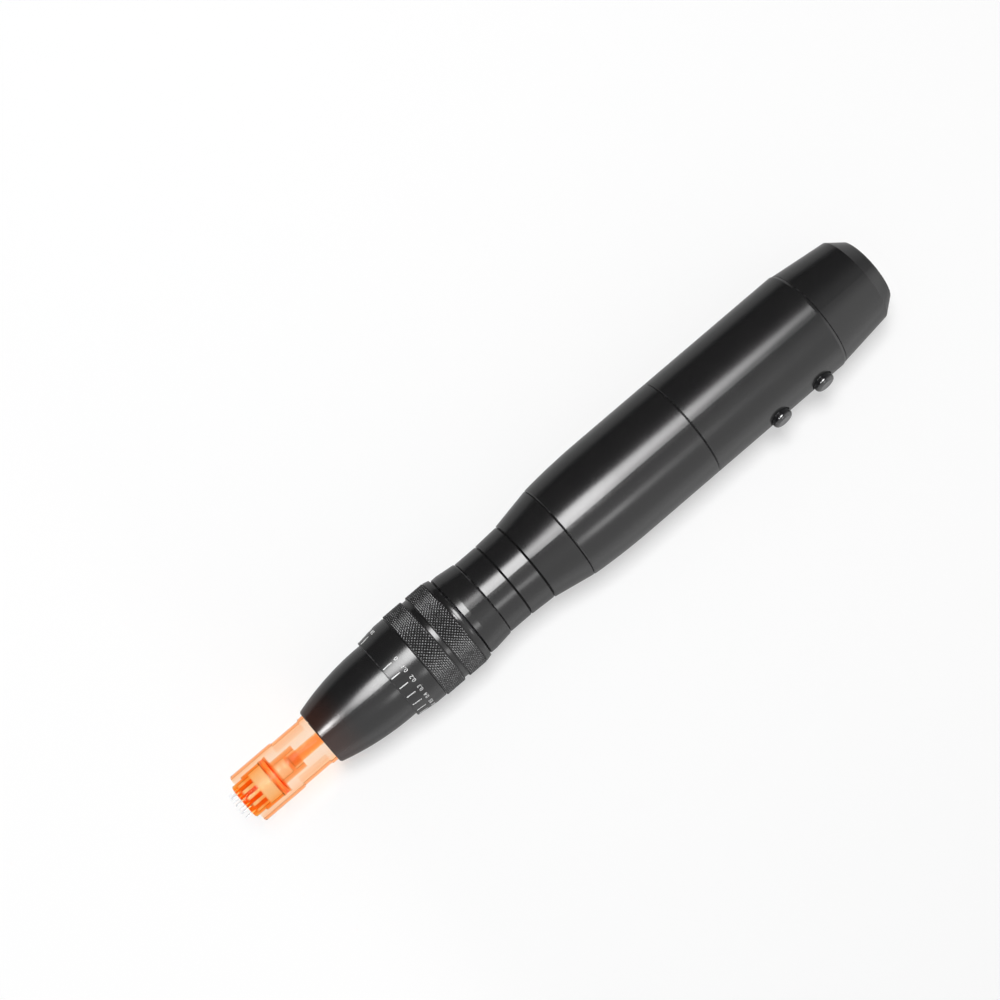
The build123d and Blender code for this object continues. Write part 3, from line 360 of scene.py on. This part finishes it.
def slot_looks():
    """One material for each finish in the record that isn't made for a single piece: how it is
    made, its dark and light colours, its roughness and, on drawn metal, its grain."""
    finishes = {
        "seal_orange": (moulded, (0.85, 0.10, 0.01), (0.95, 0.16, 0.02), 0.45),
        "needle_steel": (metal, (0.46, 0.47, 0.48), (0.58, 0.59, 0.60), 0.35, (0.1, 1, 1)),
        "bush_bronze": (metal, (0.42, 0.25, 0.11), (0.55, 0.34, 0.16), 0.35),
        "black_rubber": (rubber, (0.014, 0.014, 0.015)),
        "alloy": (metal, (0.72, 0.73, 0.74), (0.82, 0.82, 0.83), 0.28, (0.3, 1, 1)),
        "white_acetal": (moulded, (0.76, 0.75, 0.71), (0.83, 0.82, 0.79), 0.38),
        "black_plastic": (moulded, (0.016, 0.016, 0.017), (0.024, 0.024, 0.025), 0.42),
        "button_black": (button_plastic,),
        "magnet": (metal, (0.20, 0.20, 0.21), (0.30, 0.30, 0.31), 0.5),
        "armature_copper": (metal, (0.75, 0.30, 0.13), (0.90, 0.45, 0.24), 0.3, (0.2, 1, 1)),
        "tab_nickel": (metal, (0.60, 0.57, 0.50), (0.70, 0.67, 0.60), 0.3),
        "battery_wrap": (moulded, (0.03, 0.12, 0.36), (0.04, 0.16, 0.44), 0.3),
        "board_green": (moulded, (0.012, 0.11, 0.04), (0.02, 0.16, 0.06), 0.35),
        "lead_red": (moulded, (0.55, 0.02, 0.015), (0.65, 0.03, 0.02), 0.4),
    }
    return {name: finish(name, *values) for name, (finish, *values) in finishes.items()}


def dress_cad_nodes():
    """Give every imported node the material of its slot."""
    slots = {part["node"]: part["material_slot"] for part in frame["record"]["subparts"]}
    looks = slot_looks()
    for node, body_part in frame["nodes"].items():
        slot = slots[node]
        if slot == "black_anodised":
            low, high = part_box(node)
            # The nose cone gets a painted orange reflection of the clear end
            glow = low.x / MM if node == "nose_cone" else None
            material = anodised("anodised_" + node, (low.x / MM, high.x / MM), glow)
        elif node in CLEAR_PIECES:
            material = clear_plastic("clear_" + node, *CLEAR_PIECES[node])
        elif node == "click_washer":
            # Painted shade: the washer is painted near-black so the slit behind the depth ring
            # reads as shade
            material = metal("washer_painted_as_slit_shade", (0.02, 0.02, 0.022), (0.04, 0.04, 0.045), 0.45)
        else:
            material = looks[slot]
        body_part.data.materials.clear()
        body_part.data.materials.append(material)


def start_ring(name, x, radius, sides):
    """A ring of points round the pen's axis, all selected in edit mode."""
    pick([])
    centre = Vector((x, 0, AXIS_HEIGHT)) * MM
    bpy.ops.mesh.primitive_circle_add(
        vertices=sides, radius=radius * MM, location=centre, rotation=(0, pi / 2, 0)
    )
    piece = bpy.context.active_object
    piece.name = name
    bpy.ops.object.transform_apply(location=True, rotation=True, scale=True)
    bpy.ops.object.mode_set(mode="EDIT")
    bpy.ops.mesh.select_all(action="SELECT")
    return piece


def turned_piece(name, outline, sides):
    """Extrude a ring of points along a closed outline of (x, radius), as on a lathe."""
    x, radius = outline[0]
    piece = start_ring(name, x, radius, sides)
    for next_x, next_radius in (*outline[1:], outline[0]):
        move = {"value": ((next_x - x) * MM, 0, 0)}
        bpy.ops.mesh.extrude_region_move(TRANSFORM_OT_translate=move)
        scale = next_radius / radius
        centre = (next_x * MM, 0, AXIS_HEIGHT * MM)
        bpy.ops.transform.resize(value=(1, scale, scale), center_override=centre)
        x, radius = next_x, next_radius
    bpy.ops.mesh.select_all(action="SELECT")
    bpy.ops.mesh.remove_doubles(threshold=0.001 * MM)
    bpy.ops.mesh.normals_make_consistent(inside=False)
    bpy.ops.object.mode_set(mode="OBJECT")
    return piece


def choose(piece, kind, wanted):
    """In edit mode, select just the faces or edges that pass a test."""
    mesh = bmesh.from_edit_mesh(piece.data)
    bpy.ops.mesh.select_all(action="DESELECT")
    for part in getattr(mesh, kind):
        if wanted(part):
            part.select_set(True)
    mesh.select_flush_mode()
    bmesh.update_edit_mesh(piece.data)


def axis_distance(point):
    """Distance of a point from the pen's axis, in millimetres."""
    return (point.y**2 + (point.z - AXIS_HEIGHT * MM) ** 2) ** 0.5 / MM


def knurl(piece, front_x, back_x, base_radius):
    """Turn the square cells of a band into rows of blunt diamonds that stand out from it."""
    pick([piece])
    bpy.ops.object.mode_set(mode="EDIT")
    bpy.ops.mesh.select_mode(type="FACE")

    def in_band(face):
        middle = face.calc_center_median()
        outside = axis_distance(middle) > base_radius - ON_SURFACE
        return front_x < middle.x / MM < back_x and outside

    choose(piece, "faces", in_band)
    corners = len(piece.data.vertices)
    bpy.ops.mesh.poke()
    bpy.ops.mesh.select_mode(type="EDGE")

    def between_cells(edge):
        cells = [len(face.verts) == 3 for face in edge.link_faces]
        return len(cells) == 2 and all(cells) and max(v.index for v in edge.verts) < corners

    choose(piece, "edges", between_cells)
    bpy.ops.mesh.dissolve_edges(use_verts=False)
    bpy.ops.mesh.select_mode(type="FACE")
    choose(piece, "faces", in_band)
    slope = KNURL_PITCH / 8 ** 0.5 - KNURL_LAND / 2
    bpy.ops.mesh.inset(
        thickness=slope * MM, depth=KNURL_DEPTH * MM, use_individual=True, use_boundary=True
    )
    bpy.ops.object.mode_set(mode="OBJECT")


def round_the_diamonds(piece, base_radius):
    """Shade each diamond as one blunt tip, with a sharp valley round it."""
    pick([piece])
    bpy.ops.object.mode_set(mode="EDIT")
    bpy.ops.mesh.select_mode(type="EDGE")

    def on_tip(edge):
        return max(axis_distance(v.co) for v in edge.verts) > base_radius + KNURL_DEPTH / 2

    choose(piece, "edges", on_tip)
    bpy.ops.mesh.mark_sharp(clear=True)
    bpy.ops.object.mode_set(mode="OBJECT")


def rows_between(front_x, back_x, radius):
    """Stations that cut a band into square cells."""
    rows = round((back_x - front_x) / KNURL_PITCH)
    return [(front_x + (back_x - front_x) * row / rows, radius) for row in range(rows + 1)]


def make_depth_ring():
    """The depth ring: a tapered scale and two knurled bands with a groove between them."""
    low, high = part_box("depth_ring")
    front, back = low.x / MM, high.x / MM
    knurl_front = front + SCALE_BAND_LENGTH
    gap_front = knurl_front + FRONT_KNURL_LENGTH
    gap_back = gap_front + KNURL_GAP_LENGTH
    knurl_back = gap_back + REAR_KNURL_LENGTH
    base = KNURL_RADIUS - KNURL_DEPTH
    outline = (
        (front, RING_BORE_RADIUS),
        (front, SCALE_FRONT_RADIUS - RING_EDGE),
        (front + RING_EDGE, SCALE_FRONT_RADIUS),
        (front + SCALE_TAPER_LENGTH, SCALE_BACK_RADIUS),
        (knurl_front - 2 * RING_EDGE, SCALE_BACK_RADIUS),
        (knurl_front - RING_EDGE, base - RING_EDGE),
        *rows_between(knurl_front, gap_front, base),
        (gap_front + RING_EDGE, KNURL_GAP_RADIUS),
        (gap_back - RING_EDGE, KNURL_GAP_RADIUS),
        *rows_between(gap_back, knurl_back, base),
        (knurl_back + RING_EDGE, KNURL_RADIUS - RING_EDGE / 2),
        (back, RING_BACK_RADIUS),
        (back, RING_BORE_RADIUS),
    )
    ring = turned_piece("depth_ring_body", outline, KNURL_TEETH)
    knurl(ring, knurl_front, gap_front, base)
    knurl(ring, gap_back, knurl_back, base)
    pick([ring])
    bpy.ops.object.shade_smooth_by_angle(angle=radians(SMOOTH_ANGLE))
    round_the_diamonds(ring, base)
    # The knurl's tips are painted lighter, as wear and as a painted glint
    tips = KNURL_RADIUS - KNURL_WEAR_AND_GLINT_HEIGHT
    ring.data.materials.append(anodised("anodised_depth_ring", (front, back), tips=tips))
    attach(ring, "depth_ring")
    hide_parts("depth_ring")


def on_scale(setback, angle):
    """Frame on the ring's scale: X along the slope toward the tail, Z out of it."""
    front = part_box("depth_ring")[0].x / MM
    rise = (SCALE_BACK_RADIUS - SCALE_FRONT_RADIUS) / SCALE_TAPER_LENGTH
    radius = SCALE_FRONT_RADIUS + setback * rise
    to_axis = Matrix.Translation(Vector((front + setback, 0, AXIS_HEIGHT)) * MM)
    around = Matrix.Rotation(radians(angle), 4, "X")
    to_surface = Matrix.Translation(Vector((0, 0, radius)) * MM)
    return to_axis @ around @ to_surface @ Matrix.Rotation(-atan2(rise, 1), 4, "Y")


def wrap(piece, setback, angle):
    """Lay a flat mesh on the ring, so that its own X runs along it and its Y round it."""
    middle = on_scale(setback, angle)
    surface = axis_distance(middle.translation) * MM
    for point in piece.data.vertices:
        turned = Matrix.Rotation(-point.co.y / surface, 4, "X")
        centre = Matrix.Translation((0, 0, AXIS_HEIGHT * MM))
        flat = middle @ Vector((point.co.x, 0, point.co.z))
        point.co = centre @ turned @ centre.inverted() @ flat


def tick(name, angle):
    """One painted line of the scale."""
    pick([])
    bpy.ops.mesh.primitive_plane_add(size=1.0)
    line = bpy.context.active_object
    line.name = name
    line.scale = (TICK_LENGTH * MM, TICK_WIDTH * MM, 1)
    line.location = (0, 0, -PAINT_SINK * MM)
    bpy.ops.object.transform_apply(location=True, rotation=True, scale=True)
    bpy.ops.object.mode_set(mode="EDIT")
    bpy.ops.mesh.select_all(action="SELECT")
    rise = {"value": (0, 0, (PAINT_SINK + PAINT_THICKNESS) * MM)}
    bpy.ops.mesh.extrude_region_move(TRANSFORM_OT_translate=rise)
    bpy.ops.mesh.select_all(action="SELECT")
    bpy.ops.mesh.normals_make_consistent(inside=False)
    bpy.ops.object.mode_set(mode="OBJECT")
    wrap(line, TICK_SETBACK + TICK_LENGTH / 2, angle)
    return line


def number(name, words, angle):
    """One painted number of the scale, its top toward the needles."""
    pick([])
    bpy.ops.object.text_add()
    text = bpy.context.active_object
    text.name = name
    text.data.body = words
    text.data.align_x = "CENTER"
    text.data.size = NUMBER_HEIGHT * MM / DIGIT_SHARE
    text.data.resolution_u = 3
    text.data.extrude = (PAINT_SINK + PAINT_THICKNESS) / 2 * MM
    text.data.offset = NUMBER_BOLDNESS * MM
    bpy.ops.object.convert(target="MESH")
    text = bpy.context.active_object
    lift = Matrix.Translation((0, 0, (PAINT_THICKNESS - PAINT_SINK) / 2 * MM))
    text.data.transform(lift @ Matrix.Rotation(pi / 2, 4, "Z"))
    wrap(text, NUMBER_SETBACK, angle)
    return text


def paint_the_scale():
    """White lines and plain numbers from 0 to 2.0 round the ring."""
    marks = []
    for step in range(SCALE_STEPS + 1):
        angle = SCALE_START_ANGLE + step * SCALE_STEP_ANGLE
        words = "0" if step == 0 else f"{step / 10:.1f}"
        marks += [tick(f"tick_{step}", angle), number(f"number_{step}", words, angle)]
    pick(marks)
    bpy.ops.object.join()
    scale = bpy.context.active_object
    scale.name = "scale_marks"
    scale.data.materials.clear()
    scale.data.materials.append(scale_paint("scale_paint"))
    for face in scale.data.polygons:
        face.material_index = 0
    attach(scale, "depth_ring")


def soft_light(
    name, angle, lean, spread, reach, glow, shape="RECTANGLE", turn=0.0, mirrored=True
):
    """A softbox LIGHT_DISTANCE from the pen. Its middle is at an angle from overhead toward +Y
    and a lean toward the tail, its spread is its angle across the pen and its reach along it.
    The turn swings its tail end toward +Y. A mirrored one shows in the pen's finish, and the
    other kind only lights the table."""
    distance = LIGHT_DISTANCE * MM
    across = Matrix.Rotation(radians(-angle), 4, "X") @ Matrix.Rotation(radians(lean), 4, "Y")
    centre = Matrix.Translation((0, 0, AXIS_HEIGHT * MM))
    out = Matrix.Translation((0, 0, distance))
    pick([])
    bpy.ops.object.light_add(type="AREA")
    lamp = bpy.context.active_object
    lamp.name = name
    lamp.matrix_world = centre @ across @ out @ Matrix.Rotation(radians(turn), 4, "Z")
    lamp.data.shape = shape
    lamp.data.size = 2 * distance * tan(radians(reach) / 2)
    lamp.data.size_y = 2 * distance * tan(radians(spread) / 2)
    lamp.data.energy = glow * pi * lamp.data.size * lamp.data.size_y
    lamp.visible_camera = False
    lamp.visible_glossy = mirrored
    lamp.visible_diffuse = not mirrored


def light_the_room():
    """Soft white light from above, and a pale room that glows most on the buttons' side."""
    soft_light(
        "round_softbox", angle=12.5, lean=-2.5, spread=32, reach=34, glow=6.8, shape="ELLIPSE"
    )
    soft_light("square_softbox", angle=12, lean=-0.25, spread=29, reach=17.5, glow=4.6)
    soft_light(
        "long_softbox",
        angle=13.5,
        lean=-1,
        spread=22,
        reach=41,
        glow=4.2,
        shape="ELLIPSE",
        turn=12,
    )
    soft_light("side_strip", angle=-41, lean=3, spread=11, reach=13, glow=5.2)
    soft_light("nose_spot", angle=12, lean=-32, spread=10, reach=9, glow=45)
    soft_light("key_softbox", angle=11, lean=0, spread=16, reach=16, glow=34, mirrored=False)
    world = bpy.data.worlds.new("studio")
    bpy.context.scene.world = world
    look = Look(world)
    way = look.node("ShaderNodeTexCoord", output="Generated")
    x, y, _ = look.split(way)
    button_side = 1.05 * (0.0 - y).ramp(-0.1, 0.5)
    tail_side = 0.4 * x.ramp(0.3, 0.5) * (1 - y.ramp(0.0, 0.7))
    glow = 0.04 + button_side + tail_side
    seen = look.ray("Camera")
    scattered = look.ray("Diffuse")
    level = (glow + seen * (1 - glow)) * (1 - scattered) + scattered * 0.22
    shader = look.node("ShaderNodeBackground", values={"Color": (1, 1, 1, 1), "Strength": level})
    look.node("ShaderNodeOutputWorld", values={"Surface": shader})


def lay_the_table():
    """A white table top, half lit from within. It keeps the pen's soft shadow, but under the
    clear end it is lit more from within, a painted light that hides most of that shadow. The
    brightness that the pen mirrors from it is painted by side, brightest on the buttons' side."""
    pick([])
    drop = (0, 0, -TABLE_DROP * MM)
    bpy.ops.mesh.primitive_plane_add(size=TABLE_SIZE * MM, location=drop)
    table = bpy.context.active_object
    table.name = "table_top"
    look = new_look("white_table")
    seen = look.ray("Camera")
    through = look.ray("Transmission")
    mirrored = look.ray("Glossy") * (1 - through)
    x, y, _ = look.split(look.place())
    away = y / MM
    far = abs(away).ramp(30, 140)
    # Painted light: the table glows more near the clear end, taking away most of the shadow there
    painted_light_under_cartridge = 1 - (x / MM).ramp(-95, -60)
    share = seen * (0.5 + painted_light_under_cartridge * 0.4) + mirrored * (0.7 + far * 0.3) + through * 0.95
    # Painted reflection: how bright the pen mirrors the table is set by side, brightest on the
    # buttons' side
    painted_reflection_level = away.ramp(-20, 20) * (1 - far) * 0.4 + (0.0 - away).ramp(5, 60) * 1.25
    paper = look.node("ShaderNodeBsdfDiffuse", values={"Color": (0.92, 0.92, 0.92, 1.0)})
    glow = mirrored * painted_reflection_level + (1 - mirrored)
    lit = look.node("ShaderNodeEmission", values={"Color": (1, 1, 1, 1), "Strength": glow})
    both = look.node("ShaderNodeMixShader", values={0: share, 1: paper, 2: lit})
    look.node("ShaderNodeOutputMaterial", values={"Surface": both})
    table.data.materials.append(look.holder)


def set_the_camera():
    """A long lens over the nose, turned so that the pen lies aslant in the picture."""
    data = bpy.data.cameras.new("camera")
    camera = bpy.data.objects.new("camera", data)
    bpy.context.scene.collection.objects.link(camera)
    tilt = radians(CAMERA_TILT)
    turn = radians(CAMERA_TURN)
    along = Vector((cos(tilt), 0, sin(tilt)))
    across = Vector((0, 1, 0))
    right = along * cos(turn) - across * sin(turn)
    up = along * sin(turn) + across * cos(turn)
    back = right.cross(up)
    camera.rotation_euler = Matrix((right, up, back)).transposed().to_euler()
    camera.location = Vector(CAMERA_PLACE) * MM
    data.lens = CAMERA_LENS
    data.sensor_width = SENSOR_WIDTH
    data.clip_start = 0.01
    data.clip_end = 20.0
    bpy.context.scene.camera = camera
    bpy.context.scene.view_settings.view_transform = "Standard"


dress_cad_nodes()
make_depth_ring()
paint_the_scale()
light_the_room()
lay_the_table()
set_the_camera()
